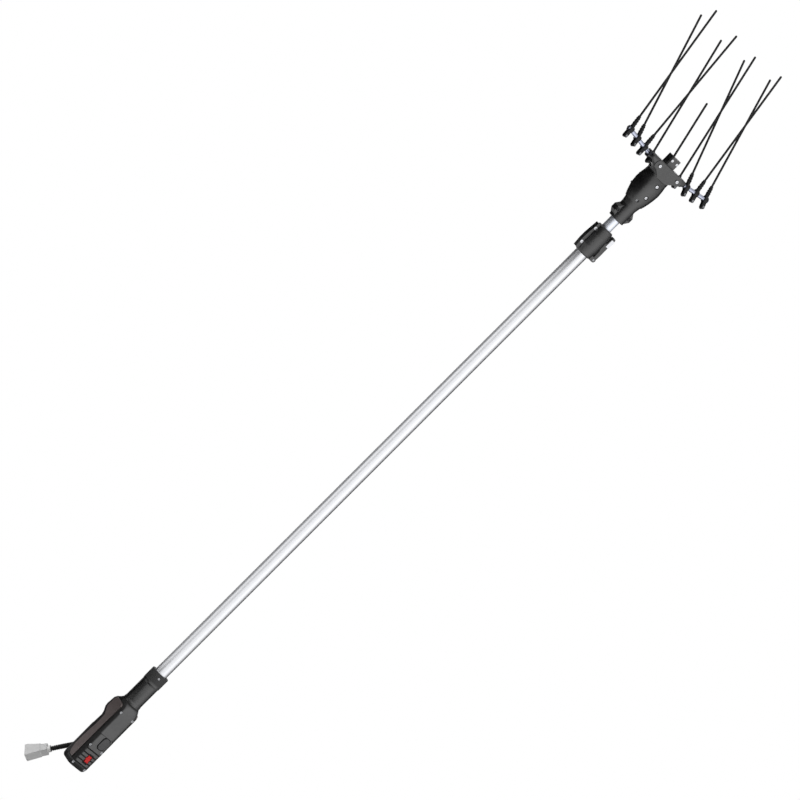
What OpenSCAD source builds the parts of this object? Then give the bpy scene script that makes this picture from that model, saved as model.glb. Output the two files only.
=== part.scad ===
// Electric olive harvester: a two-stage telescopic pole with a switch handle at its foot
// and a motor head with a rocking comb of tines at its top.
// +Z runs up the pole, the front with the switches looks along -Y, the tines lean back towards +Y.
// The origin is on the pole axis, halfway up the handle's round neck. Lengths are in millimetres.

/* [Pole] */
// Outside diameter of the lower tube
outer_d = 32; // [31:0.5:34]
// Wall of the lower tube
outer_wall = 1.5; // [1:0.1:1.8]
// Bare length of the lower tube, from handle to collar
pole_len = 1323; // [1200:1:1800]
// Outside diameter of the sliding tube
inner_d = 25; // [23:0.5:26]
// Wall of the sliding tube
inner_wall = 1.5; // [1:0.1:2]
// Travel of the sliding tube
draw_len = 900; // [400:10:1000]
// Overlap of the two tubes at full travel
overlap_len = 150; // [100:10:200]
// Bare length of the sliding tube when closed
gap_len = 29; // [15:1:60]

/* [Handle] */
// Length of the switch housing
body_len = 188; // [176:1:210]
// Width of the switch housing
body_w = 53; // [50:0.5:58]
// Depth of the housing in front of the pole axis
front_depth = 29; // [27:0.5:33]
// Depth of the housing behind the pole axis
rear_depth = 20; // [19:0.5:24]
// Rise of the hump on the housing's rear
hump_h = 17; // [12:0.5:20]
// Wall of the housing shells
shell_wall = 3; // [2.6:0.1:3.5]
// Diameter of the round neck
neck_d = 46; // [42:0.5:47]
// Length of the round neck
neck_len = 94; // [70:1:120]
// Length of lower tube that stands inside the housing
tube_seat = 13; // [8:1:16]
// Depth of the pocket that each side cover lies in
cover_seat = 1.6; // [1:0.1:1.9]
// How far a side cover stands proud of the housing
cover_proud = 0.8; // [0.4:0.1:1.5]

/* [Controls] */
// Width of the rocker switch
rocker_w = 10; // [10:0.5:13]
// Height of the rocker switch
rocker_len = 18; // [14:0.5:20]
// Place of the rocker switch, sideways
rocker_x = 4; // [2:0.5:8]
// Place of the rocker switch, above the handle's foot
rocker_up = 33; // [28:0.5:36]
// Angle between the rocker's two settings
rocker_swing = 16; // [10:1:20]
// Width of the push button
button_w = 18; // [14:0.5:19]
// Height of the push button
button_len = 30; // [26:0.5:32]
// Place of the push button, sideways
button_x = 5.5; // [4:0.5:9]
// Place of the push button, above the handle's foot
button_up = 82; // [80:0.5:88]
// Travel of the push button
button_travel = 1.5; // [1:0.1:2]

/* [Collar] */
// Length of the clamp collar
collar_len = 76; // [70:1:90]
// Diameter of the collar at its waist
collar_d = 47; // [44:0.5:52]
// Length of lower tube that stands inside the collar
collar_seat = 30; // [25:1:34]
// Reach of the pinch ears from the pole axis
ear_reach = 31; // [29:0.5:34]
// Thickness of each pinch ear
ear_t = 6; // [5:0.5:7]
// Width of the flip lever
lever_w = 12; // [10:0.5:14]
// Thickness of the flip lever
lever_t = 10.5; // [9:0.5:12]
// Length of the flip lever
lever_len = 73; // [66:1:78]
// Distance of the lever's pin from the pole axis
lever_x = 29; // [28.5:0.5:31]

/* [Head] */
// Length of the clamp neck under the gear case
clamp_len = 55; // [50:1:64]
// Diameter of the clamp neck
clamp_d = 40; // [38:0.5:43]
// Length of sliding tube that stands inside the clamp neck
clamp_seat = 32; // [26:1:34]
// Length of the gear case, with its crossbar
case_len = 110; // [110:1:120]
// Width of the gear case at its fullest
case_w = 63.6; // [62:0.5:68]
// Depth of the gear case at its fullest
case_d = 68.4; // [66:0.5:74]
// Distance of the motor and comb axes behind the pole axis
drive_y = 6; // [5:0.5:7]
// Reach of each crossbar arm from the middle
arm_reach = 61; // [60:0.5:66]
// Width of the nose block
nose_w = 28; // [24:0.5:32]
// Depth of the nose block
nose_d = 24; // [22:0.5:26]
// Height of the nose block
nose_h = 24; // [22:0.5:30]

/* [Drive] */
// Diameter of the motor can
motor_d = 34; // [32:0.5:35]
// Diameter of the gearbox
gearbox_d = 36; // [34:0.5:37]
// Length of the gearbox
gearbox_len = 22; // [20:0.5:22]
// Radius from the half-shafts to the yoke's drive pins
arm_r = 18; // [17:0.25:18.5]
// Rock of the comb each way
rock = 20; // [12:1:22]

/* [Comb] */
// Diameter of the half-shafts
shaft_d = 10; // [9:0.5:10.5]
// Angle that each half-shaft is swept up from the level
sweep = 7.5; // [5:0.5:8]
// Distance of the half-shafts' meeting point below the top of the gear case
apex_drop = 17; // [16.5:0.5:17.5]
// Place of the inner holder along the half-shaft
holder_first = 49; // [48:0.5:49.5]
// Pitch of the holders along the half-shaft
holder_pitch = 30; // [26:1:36]
// Width of a holder along the half-shaft
holder_w = 9; // [8:0.5:9.5]
// Diameter of a holder's ring
holder_d = 16.5; // [16:0.5:18]
// Reach of a holder's sleeve from the half-shaft
sleeve_len = 35; // [28:1:45]
// Reach of an inner holder's short sleeve
sleeve_short = 13; // [12.5:0.5:16]
// Reach of a holder's clamp lug from the half-shaft
lug_len = 23; // [20:0.5:25]
// Reach of an inner holder's short clamp lug
lug_short = 19; // [18:0.5:20]
// Diameter of a tine
tine_d = 5; // [4:0.5:5.5]
// Reach of a tine from the half-shaft
tine_len = 327; // [250:1:420]
// Bare length of the middle tine
middle_len = 143; // [80:1:200]
// Lean of the middle tine towards the rear
lean = 22; // [15:1:25]
// How far neighbouring tines lean either side of that
lean_swing = 6.5; // [3:0.5:8]

/* [Cord] */
// Diameter of the ribbed cord
cord_d = 11.5; // [9:0.5:11.5]
// Length of the strain relief
relief_len = 22; // [18:1:26]
// Length of the battery plug
plug_len = 54; // [50:1:75]
// Width of the battery plug at its mating end
plug_w = 35; // [30:1:40]
// Thickness of the battery plug
plug_t = 20; // [16:0.5:24]

/* [Hidden] */
TINES = [1, 2, 3, 4, 5, 6, 7, 8, 9];
LONG_TINES = [1, 2, 3, 4, 6, 7, 8, 9];
$fn = 48;

// Clearances: a seated fit, a running fit, a loose gap between moving pieces, and the overrun of cuts
seat_gap = 0.05;
run_gap = 0.05;
free_gap = 0.5;
over = 1;
room = 4 * body_w;

// Heights up the pole
neck_top = neck_len / 2;
body_top = -neck_len / 2;
foot_z = body_top - body_len;
collar_z = neck_top + pole_len;
collar_top = collar_z + collar_len;
tube_top = collar_z + collar_seat;
clamp_z = collar_top + gap_len;
slider_z = collar_top - draw_len - overlap_len;
slider_top = clamp_z + clamp_seat;
case_z = clamp_z + clamp_len;
case_top = case_z + case_len;
apex_z = case_top - apex_drop;

// Curves and lofts

function signed_power(v, e) = sign(v) * pow(abs(v), e);

// A ring of points: a rounded box with its own depth in front and behind
function ring(z, half_w, front, rear, square, sides) = [
    for (i = [0 : sides - 1])
        let (t = 360 * (i + 0.5) / sides, c = cos(t), s = sin(t))
        [half_w * signed_power(c, 2 / square), (s < 0 ? front : rear) * signed_power(s, 2 / square), z]];

// A closed solid through rings of equal length, from the lowest to the highest
module loft(rings) {
    n = len(rings[0]);
    last = len(rings) - 1;
    polyhedron(
        points = [for (r = rings) each r],
        faces = concat(
            [[for (i = [0 : n - 1]) i]],
            [[for (i = [n - 1 : -1 : 0]) last * n + i]],
            [for (k = [0 : last - 1], i = [0 : n - 1])
                let (j = (i + 1) % n)
                [k * n + i, (k + 1) * n + i, (k + 1) * n + j, k * n + j]]));
}

// A cylinder along X or Y, centred or from its start
module rod_x(r, h, center = false) {
    rotate([0, 90, 0]) cylinder(r = r, h = h, center = center);
}
module rod_y(r, h, center = false) {
    rotate([-90, 0, 0]) cylinder(r = r, h = h, center = center);
}

module tube(r, bore, h) {
    difference() {
        cylinder(r = r, h = h);
        translate([0, 0, -over]) cylinder(r = bore, h = h + 2 * over);
    }
}

// Half-spaces in front of and behind a plane across Y
module in_front(y) {
    translate([-room, y - 2 * room, foot_z - room]) cube([2 * room, 2 * room, case_top - foot_z + 3 * room]);
}
module behind(y) {
    translate([-room, y, foot_z - room]) cube([2 * room, 2 * room, case_top - foot_z + 3 * room]);
}

// A socket-head screw along +Y, with its head's underside at y = 0
module screw(d, len, head_d, head_h) {
    translate([0, -head_h / 4, 0]) rod_y(d / 2, len + head_h / 4);
    difference() {
        translate([0, -head_h, 0]) rod_y(head_d / 2, head_h);
        translate([0, -head_h - over, 0]) rotate([-90, 0, 0]) cylinder(d = d, h = head_h / 2 + over, $fn = 6);
    }
}
module shank_cut(d, len) {
    rod_y(d / 2 + seat_gap, len + seat_gap);
}
module screw_cut(d, len, head_d) {
    shank_cut(d, len);
    translate([0, -room, 0]) rod_y(head_d / 2 + seat_gap, room);
}

// Handle

// Housing sections: height, width, front depth, rear depth, hump, squareness
body_shares = [
    [0, 0.9, 0.9, 0.86, 0, 5],
    [0.022, 0.985, 0.985, 0.97, 0, 6],
    [0.05, 1.02, 1.03, 1, 0, 6],
    [0.3, 1.02, 1.04, 1.02, 0, 6],
    [0.51, 1.02, 1.03, 1.05, 0, 6],
    [0.53, 0.985, 0.95, 1.05, 0, 6],
    [0.66, 0.985, 0.94, 0.95, 0.02, 6],
    [0.705, 0.985, 0.94, 0.97, 0.3, 6],
    [0.75, 0.985, 0.94, 1, 0.85, 6],
    [0.79, 0.98, 0.94, 1, 1, 6],
    [0.9, 0.97, 0.93, 1, 0.95, 5],
    [0.94, 0.95, 0.91, 1, 0.7, 4],
    [0.972, 0.9, 0.86, 1.02, 0.25, 3],
    [1, 0.85, 0.78, 1.12, 0, 2.2]];
body_sides = 44;

module body_form(inset) {
    loft([for (s = body_shares) ring(
        body_top - body_len + max(inset, min(body_len - inset, s[0] * body_len)),
        s[1] * body_w / 2 - inset,
        s[2] * front_depth - inset,
        s[3] * rear_depth + s[4] * hump_h - inset,
        s[5],
        body_sides)]);
}

// Outline of a side cover, as shares of the housing's length and front depth
cover_shares = [
    [0.08, -0.76], [0.9, -0.72], [0.935, -0.6], [0.945, -0.4], [0.945, 0.45], [0.93, 0.61], [0.9, 0.69],
    [0.785, 0.69], [0.755, 0.55], [0.725, 0.3], [0.69, 0.1], [0.55, 0.05], [0.36, 0.19], [0.2, 0.19],
    [0.12, 0.02], [0.08, -0.2]];

module cover_outline() {
    polygon([for (p = cover_shares) [p[0] * body_len, p[1] * front_depth]]);
}

// The cover's outline as a slab along X, from the pole axis outwards on one side
module cover_slab(side, grow, from_x, to_x) {
    mirror([side < 0 ? 1 : 0, 0, 0])
        translate([from_x, 0, foot_z])
            rotate([0, -90, 0])
                mirror([0, 0, 1])
                    linear_extrude(to_x - from_x)
                        if (grow > 0) offset(delta = grow) cover_outline();
                        else cover_outline();
}

module side_cover(side) {
    outer = body_w / 2 * body_shares[3][1] + cover_proud;
    color("#4a4444") cover_slab(side, 0, body_w / 2 - cover_seat, outer);
}
module cover_pockets() {
    for (side = [-1, 1])
        cover_slab(side, seat_gap, body_w / 2 - cover_seat - seat_gap, body_w);
}

// Housing screws: height and front depth as shares, on both edges of the front
screw_shares = [[0.045, 1], [0.335, 1.02], [0.86, 0.92]];
body_screw_d = 3;
body_screw_head = 6;
body_screw_head_h = 2;
body_screw_len = 40;
body_screw_in = 2.5;
post_r = 3.2;
screw_edge = 7.4;
screw_x = body_w / 2 - screw_edge;

module at_body_screws() {
    for (s = screw_shares, side = [-1, 1])
        translate([side * screw_x, -s[1] * front_depth + body_screw_in, foot_z + s[0] * body_len])
            children();
}

module body_posts() {
    intersection() {
        body_form(shell_wall / 2);
        for (s = screw_shares, side = [-1, 1])
            translate([side * screw_x, -room, foot_z + s[0] * body_len])
                rod_y(post_r, 2 * room);
    }
}

// Grille grooves round the rocker switch, and the line above them
groove_w = 3.2;
groove_deep = 2;
groove_ups_share = [0.076, 0.127, 0.178, 0.229, 0.288];
bezel_w = 2.2;
bezel_end = 4.5;
module front_grooves() {
    face = -body_shares[3][2] * front_depth;
    for (g = groove_ups_share)
        translate([-body_w, face - room, foot_z + g * body_len - groove_w / 2])
            cube([2 * body_w, room + groove_deep, groove_w]);
    translate([rocker_x - rocker_w / 2 - bezel_w, face - room, rocker_z - rocker_len / 2 - bezel_end])
        cube([rocker_w + 2 * bezel_w, room + groove_deep, rocker_len + 2 * bezel_end]);
}

// Rocker switch: a shallow V on a cross axle
rocker_deep = 9;
rocker_crown = 3.2;
rocker_sink = 2;
rocker_y = -front_depth * body_shares[3][2] + rocker_sink;
rocker_z = foot_z + rocker_up;
rocker_axle_r = 1.5;
frame_t = 1.6;
rocker_axle_len = rocker_w + 2 * free_gap + 1.5 * frame_t;
module rocker_switch() {
    color("#d8231e") translate([rocker_x, rocker_y, rocker_z]) rotate([-rocker_swing / 2, 0, 0]) {
        rotate([90, 0, -90])
            linear_extrude(rocker_w, center = true)
                polygon([
                    [rocker_crown, -rocker_len / 2 + free_gap], [rocker_crown / 2, 0],
                    [rocker_crown, rocker_len / 2 - free_gap],
                    [-rocker_deep / 4, rocker_len / 2 - free_gap], [-rocker_deep / 2, rocker_len / 6],
                    [-rocker_deep / 2, -rocker_len / 6], [-rocker_deep / 4, -rocker_len / 2 + free_gap]]);
        rod_x(rocker_axle_r, rocker_axle_len, center = true);
    }
}
// Where the rocker swings, and the holes for its axle
module rocker_cut() {
    translate([rocker_x, 0, rocker_z]) {
        translate([-rocker_w / 2 - free_gap, -room, -rocker_len / 2 - free_gap])
            cube([rocker_w + 2 * free_gap, room, rocker_len + 2 * free_gap]);
        translate([0, rocker_y, 0])
            rod_x(rocker_axle_r + run_gap, rocker_axle_len + 2 * run_gap, center = true);
    }
}
// A moulded frame inside the front wall, round the rocker
module rocker_frame() {
    h = rocker_len + 2 * free_gap + 2 * frame_t;
    w = rocker_w + 2 * free_gap + 2 * frame_t;
    translate([rocker_x - w / 2, rocker_y - frame_t, rocker_z - h / 2])
        cube([w, rocker_deep / 2 + 2 * frame_t, h]);
}

// Push button: an eight-sided pad that stands proud of the housing
button_proud = 1.6;
button_skirt = 5.5;
button_flange = 1.2;
button_cut_share = 0.3;
moat_w = 2;
moat_deep = 1.6;
button_z = foot_z + button_up;
button_face = -front_depth * body_shares[3][2];
module button_outline(grow) {
    w = button_w / 2 + grow;
    h = button_len / 2 + grow;
    c = button_cut_share * button_w;
    polygon([
        [w - c, -h], [w, c - h], [w, h - c], [w - c, h],
        [c - w, h], [-w, h - c], [-w, c - h], [c - w, -h]]);
}
module button_slab(grow, from_y, to_y) {
    translate([button_x, from_y, button_z])
        rotate([-90, 0, 0])
            linear_extrude(to_y - from_y) button_outline(grow);
}
module push_button() {
    color("#3b3b3d") {
        button_slab(0, button_face - button_proud, button_face + button_skirt);
        button_slab(button_flange, button_face + shell_wall + free_gap, button_face + button_skirt);
    }
}
module button_cut() {
    button_slab(free_gap, button_face - room, button_face + shell_wall + over);
    button_slab(moat_w, button_face - room, button_face + moat_deep);
    button_slab(button_flange + free_gap, button_face + shell_wall, button_face + 3 * shell_wall);
}

// Control board on four posts behind the button
board_w = 30;
board_len = 60;
board_t = 1.6;
board_space = 6;
board_y = button_face + button_skirt + button_travel + board_space;
board_post_r = 2.5;
tact_r = 3;
module at_board_posts() {
    for (x = [-1, 1], z = [-1, 1])
        translate([x * (board_w / 2 - board_post_r), 0, button_z + z * (board_len / 2 - board_post_r)])
            children();
}
module control_board() {
    color("#2e6b3a") {
        translate([-board_w / 2, board_y, button_z - board_len / 2]) cube([board_w, board_t, board_len]);
        translate([button_x, button_face + button_skirt + button_travel + free_gap, button_z])
            rod_y(tact_r, board_space - free_gap + board_t / 2);
    }
}
module board_posts() {
    intersection() {
        body_form(shell_wall / 2);
        at_board_posts() translate([0, board_y - room, 0]) rod_y(board_post_r, room);
    }
}

module housing_cuts() {
    at_body_screws() screw_cut(body_screw_d, body_screw_len, body_screw_head);
    translate([0, 0, body_top - body_len / 2]) cylinder(d = outer_d + 2 * seat_gap, h = body_len);
}

module handle_front() {
    color("#323234") difference() {
        intersection() {
            union() {
                difference() {
                    body_form(0);
                    body_form(shell_wall);
                }
                body_posts();
                board_posts();
                rocker_frame();
            }
            in_front(0);
        }
        housing_cuts();
        cover_pockets();
        rocker_cut();
        button_cut();
        front_grooves();
    }
}

// The strain relief leaves the rear wall at a slant, and the cord goes on from its tip
cord_route = [
    [0, 37, -203], [0, 40.5, -206], [0, 44, -209], [0, 47.5, -212.5], [-0.5, 50.5, -216], [-1, 53.5, -219.5],
    [-1.5, 56.5, -223], [-2.5, 59.5, -227], [-3.5, 62.5, -231], [-4.5, 65.5, -235], [-5.5, 68, -239],
    [-7, 70.5, -243], [-8.5, 73, -247.5], [-10, 75.5, -252], [-12, 78, -256.5]];
cord_last = len(cord_route) - 1;
cord_out = (cord_route[1] - cord_route[0]) / norm(cord_route[1] - cord_route[0]);
cord_tail = cord_route[cord_last] - cord_route[cord_last - 1];
cord_end = cord_tail / norm(cord_tail);

// Turns +Z to a direction
module along(d) {
    rotate([0, acos(d[2]), atan2(d[1], d[0])]) children();
}

gland_root = 7;
gland_wall = 4;
gland_tip_wall = 1.2;
gland_r = cord_d / 2 + gland_wall;
gland_tip_r = cord_d / 2 + gland_tip_wall;
module cable_gland() {
    color("#1c1c1e") translate(cord_route[0]) along(cord_out) difference() {
        union() {
            translate([0, 0, -relief_len]) cylinder(r1 = gland_r, r2 = gland_tip_r, h = relief_len);
            translate([0, 0, -relief_len - gland_root]) cylinder(r = gland_r, h = gland_root);
        }
        translate([0, 0, -relief_len - gland_root - over])
            cylinder(r = cord_bore_r, h = relief_len + gland_root + 2 * over);
    }
}
module gland_cut() {
    translate(cord_route[0]) along(cord_out) translate([0, 0, -relief_len - gland_root - over])
        cylinder(r = gland_r + seat_gap, h = relief_len + gland_root + over);
}

module handle_rear() {
    color("#2c2c2e") difference() {
        intersection() {
            union() {
                difference() {
                    body_form(0);
                    body_form(shell_wall);
                }
                body_posts();
            }
            behind(0);
        }
        housing_cuts();
        cover_pockets();
        gland_cut();
    }
}

// Round neck over the tube, with a set screw near its top
neck_lip = 4;
neck_step = 1;
neck_band = 30;
set_screw_d = 5;
set_screw_turn = -20;
set_screw_down = 9;
module at_set_screw() {
    translate([0, 0, neck_top - set_screw_down]) rotate([0, 0, set_screw_turn]) children();
}
module neck_sleeve() {
    r = neck_d / 2;
    bore = outer_d / 2 + seat_gap;
    color("#262628") difference() {
        rotate_extrude() polygon([
            [bore, body_top], [r, body_top], [r, body_top + neck_lip],
            [r - neck_step, body_top + 2 * neck_lip], [r - neck_step, neck_top - neck_band - neck_lip],
            [r, neck_top - neck_band], [r, neck_top - neck_step], [r - neck_step, neck_top],
            [bore, neck_top]]);
        at_set_screw() translate([0, -neck_d, 0]) rod_y(set_screw_d / 2 + seat_gap, neck_d);
    }
}

module handle_screws() {
    color("#c9c9cc") {
        at_body_screws() screw(body_screw_d, body_screw_len, body_screw_head, body_screw_head_h);
        at_set_screw() difference() {
            translate([0, -neck_d / 2, 0]) rod_y(set_screw_d / 2, (neck_d - outer_d) / 2 - neck_step);
            translate([0, -neck_d / 2 - over, 0]) rotate([-90, 0, 0])
                cylinder(d = set_screw_d / 2, h = neck_step + over, $fn = 6);
        }
    }
}

// Cord and plug

rib_pitch = 3;
rib_high = 1;
cord_sides = 8;
cord_wall = 1.2;
cord_bore_r = cord_d / 2 - rib_high - cord_wall;
function cord_run(k) = k == 0 ? 0 : cord_run(k - 1) + norm(cord_route[k] - cord_route[k - 1]);
cord_runs = [for (k = [0 : cord_last]) cord_run(k)];
cord_len = cord_runs[cord_last];
function cord_step(s) = max([0, for (k = [0 : cord_last - 1]) if (cord_runs[k] <= s) k]);
function cord_dir(k) =
    let (a = cord_route[max(k - 1, 0)], b = cord_route[min(k + 1, cord_last)])
    k == 0 ? cord_out : k == cord_last ? cord_end : (b - a) / norm(b - a);
// Place and direction at a run along the cord
function cord_at(s) =
    let (k = cord_step(s), f = (s - cord_runs[k]) / (cord_runs[k + 1] - cord_runs[k]))
    [cord_route[k] + f * (cord_route[k + 1] - cord_route[k]), (1 - f) * cord_dir(k) + f * cord_dir(k + 1)];
function cord_ring(s, r) =
    let (p = cord_at(s), d = p[1] / norm(p[1]), u0 = cross(d, [1, 0, 0]), u = u0 / norm(u0), v = cross(d, u))
    [for (i = [0 : cord_sides - 1]) let (t = -360 * i / cord_sides) p[0] + r * (cos(t) * u + sin(t) * v)];

// A ribbed hose: plain straight ends, ribs of two rings each between them, and a bore
rib_count = floor((cord_len - 2 * cord_d) / rib_pitch);
rib_start = (cord_len - rib_count * rib_pitch) / 2;
module cord() {
    root = cord_d / 2 - rib_high;
    skin = concat(
        [[0, root], [rib_start - rib_pitch / 4, root]],
        [for (k = [0 : rib_count - 1], e = [0, 1])
            [rib_start + (k + e / 2) * rib_pitch, e == 0 ? cord_d / 2 : root]],
        [[cord_len, root]]);
    outer = [for (p = skin) cord_ring(p[0], p[1])];
    bore = [for (k = [cord_last : -1 : 0]) cord_ring(cord_runs[k], cord_bore_r)];
    rings = concat(outer, bore);
    n = cord_sides;
    count = len(rings);
    color("#161617") polyhedron(
        points = [for (r = rings) each r],
        faces = [for (k = [0 : count - 1], i = [0 : n - 1], half = [0, 1])
            let (j = (i + 1) % n, up = (k + 1) % count)
            half == 0 ? [k * n + i, k * n + j, up * n + j] : [k * n + i, up * n + j, up * n + i]]);
}

ferrule_len = 7;
ferrule_wall = 2;
ferrule_r = cord_d / 2 + ferrule_wall;
module at_cord_end() {
    translate(cord_route[cord_last]) along(cord_end) children();
}
module cord_ferrule() {
    color("#f2f2f2") at_cord_end() tube(ferrule_r, cord_bore_r, ferrule_len);
}

// Battery plug: a stepped, widening body with two contact slots in its slanted end
plug_turn = 42;
plug_tail_share = 0.3;
plug_tail_w = 20;
plug_slant = 6;
plug_step = 1.8;
contact_t = 3;
contact_w = 10;
contact_len = 16;
contact_space = 16;
contact_sink = 3;
module at_plug() {
    at_cord_end() translate([0, 0, ferrule_len]) rotate([0, 0, plug_turn]) children();
}
module plug_slots(grow) {
    for (side = [-1, 1])
        translate([
            side * contact_space / 2 - contact_w / 2 - grow,
            -contact_t / 2 - grow,
            plug_len - contact_len - contact_sink])
            children();
}
module plug_body() {
    tail = plug_tail_share * plug_len;
    color("#a8a8aa") at_plug() difference() {
        rotate([90, 0, 0]) linear_extrude(plug_t, center = true) polygon([
            [-plug_tail_w / 2, 0], [plug_tail_w / 2, 0], [plug_tail_w / 2 + plug_step / 2, tail],
            [plug_tail_w / 2 + plug_step, tail], [plug_w / 2, plug_len - plug_slant],
            [plug_w / 2, plug_len - plug_slant / 2], [-plug_w / 2, plug_len],
            [-plug_w / 2, plug_len - plug_slant], [-plug_tail_w / 2 - plug_step, tail],
            [-plug_tail_w / 2 - plug_step / 2, tail]]);
        plug_slots(seat_gap) cube([
            contact_w + 2 * seat_gap, contact_t + 2 * seat_gap, contact_len + contact_sink + plug_slant]);
        for (side = [-1, 1])
            translate([-plug_w, side * (plug_t / 2 + plug_step / 2) - plug_step, -over])
                cube([2 * plug_w, 2 * plug_step, tail + over]);
    }
}
module plug_contacts() {
    color("#b08d57") at_plug() plug_slots(0) cube([contact_w, contact_t, contact_len - plug_slant]);
}

// Pole

module outer_tube() {
    color("#d4d6da") translate([0, 0, body_top - tube_seat])
        tube(outer_d / 2, outer_d / 2 - outer_wall, tube_top - body_top + tube_seat);
}

module inner_tube() {
    color("#c6cad2") translate([0, 0, slider_z])
        tube(inner_d / 2, inner_d / 2 - inner_wall, slider_top - slider_z);
}

// Bush on the foot of the sliding tube, with a hole for the lead
bush_len = 30;
bush_floor = 4;
lead_d = 5;
slide_gap = 0.08;
module slide_bush() {
    bore = outer_d / 2 - outer_wall - slide_gap;
    color("#e6e4dc") difference() {
        translate([0, 0, slider_z - bush_floor]) cylinder(r = bore, h = bush_len + bush_floor);
        translate([0, 0, slider_z]) cylinder(d = inner_d + 2 * seat_gap, h = bush_len + over);
        translate([0, 0, slider_z - bush_floor - over])
            cylinder(d = lead_d + 2 * seat_gap, h = bush_floor + 2 * over);
    }
}

// Coiled supply cable in the lower tube, as its outer shape
coil_gap = 0.3;
coil_bore = 7;
coil_margin = 3;
module coil_cable() {
    color("#1b1b1d") translate([0, 0, body_top])
        tube(outer_d / 2 - outer_wall - coil_gap, coil_bore, slider_z - bush_floor - coil_margin - body_top);
}

module motor_lead() {
    color("#202022") translate([0, 0, slider_z - bush_floor])
        cylinder(d = lead_d, h = motor_z - slider_z + bush_floor - seat_gap);
}

// Collar

collar_round = 2.5;
collar_waist_shares = [0.3, 0.7];
collar_guide_gap = 0.1;
pinch_slot = 1.5;
pinch_screw_d = 4;
pinch_head = 7.5;
pinch_head_h = 2.5;
pinch_ups_share = [0.25, 0.8];
pinch_edge = 5;
pinch_lean = 2;
pinch_x = ear_reach - pinch_edge;
ear_low_drop = 2;
ear_high_drop = 3.5;
lever_pin_d = 5;
lever_pin_up = 6;
lever_side = 0.4;
lug_t = 4;
lug_r = 5.5;
pad_w = 10;
pad_h = 14;
pad_rise = 5;
pad_up = collar_seat + pad_rise;

module at_pinch_screws() {
    for (k = [0, 1])
        translate([
            k * pinch_lean - pinch_x, pinch_head_h - ear_t, collar_z + pinch_ups_share[k] * collar_len])
            children();
}
module at_lever_pin() {
    translate([lever_x, 0, collar_z + lever_pin_up]) children();
}

// Pad window through the collar's wall, towards the lever
module pad_block(grow, to_x) {
    translate([0, -pad_w / 2 - grow, collar_z + pad_up - grow])
        cube([to_x, pad_w + 2 * grow, pad_h + 2 * grow]);
}

// Pinch ears: a flat web whose edge bows out as the barrel does
module pinch_ears() {
    low = collar_z + collar_round;
    high = collar_top - collar_round;
    rotate([90, 0, 0]) linear_extrude(2 * ear_t, center = true) polygon([
        [0, low], [ear_low_drop - ear_reach, low],
        [-ear_reach, collar_z + collar_waist_shares[0] * collar_len], [-ear_reach, collar_z + collar_len / 2],
        [ear_high_drop - ear_reach, high], [0, high]]);
}

module collar_body() {
    r = collar_d / 2;
    color("#2a2a2c") difference() {
        union() {
            rotate_extrude() polygon([
                [0, collar_z], [r - 2 * collar_round, collar_z], [r - collar_round, collar_z + collar_round],
                [r, collar_z + collar_waist_shares[0] * collar_len],
                [r, collar_z + collar_waist_shares[1] * collar_len],
                [r - collar_round, collar_top - collar_round], [r - 2 * collar_round, collar_top],
                [0, collar_top]]);
            pinch_ears();
            at_lever_pin() for (side = [-1, 1])
                translate([0, side * (lever_w / 2 + lever_side + lug_t / 2), 0]) {
                    rod_y(lug_r, lug_t, center = true);
                    translate([-lever_x / 2, 0, 0]) cube([lever_x, lug_t, 2 * lug_r], center = true);
                }
        }
        translate([0, 0, collar_z - over]) cylinder(d = outer_d + 2 * seat_gap, h = collar_seat + over);
        translate([0, 0, collar_z]) cylinder(d = inner_d + 2 * collar_guide_gap, h = collar_len + over);
        translate([-ear_reach - over, -pinch_slot / 2, collar_z - over])
            cube([ear_reach + over, pinch_slot, collar_len + 2 * over]);
        at_pinch_screws() screw_cut(pinch_screw_d, 2 * ear_t, pinch_head);
        at_lever_pin() rod_y(lever_pin_d / 2 + seat_gap, 2 * room, center = true);
        pad_block(pad_gap, collar_d);
    }
}

module collar_screws() {
    color("#c9c9cc") at_pinch_screws()
        screw(pinch_screw_d, 2 * ear_t - pinch_head_h, pinch_head, pinch_head_h);
}

// Brake pad between the lever's nose and the sliding tube
pad_gap = 0.15;
pad_out = 1;
module brake_pad() {
    color("#3a3a3c") difference() {
        pad_block(0, collar_d / 2 + pad_out);
        translate([0, 0, collar_z]) cylinder(d = inner_d + 2 * collar_guide_gap, h = collar_len);
    }
}

// Flip lever: an eye on the pin, and a curved grip that lies along the collar
nose_gap = 0.3;
lever_gap = 1.5;
lever_nose = collar_d / 2 + pad_out + nose_gap;
lever_in = collar_d / 2 + lever_gap;
// Outline: out from the lever's inner face and up from the pin, as shares of its thickness and length
lever_shares = [
    [0.25, -0.06], [0.9, -0.04], [1.12, 0.1], [1.15, 0.3], [1.12, 0.6], [1.2, 0.78], [1.24, 0.9], [1.1, 0.97],
    [0.7, 0.985], [0.5, 0.94], [0.28, 0.86], [0.2, 0.7]];
module lever_outline() {
    polygon(concat(
        [for (p = lever_shares) [lever_in + p[0] * lever_t, p[1] * (lever_len - lever_pin_up)]],
        [[lever_nose, pad_up + pad_h - lever_pin_up], [lever_nose, pad_up - lever_pin_up],
            [lever_in + lever_shares[11][0] * lever_t, pad_up - lever_pin_up - pad_h / 2]]));
}
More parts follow.
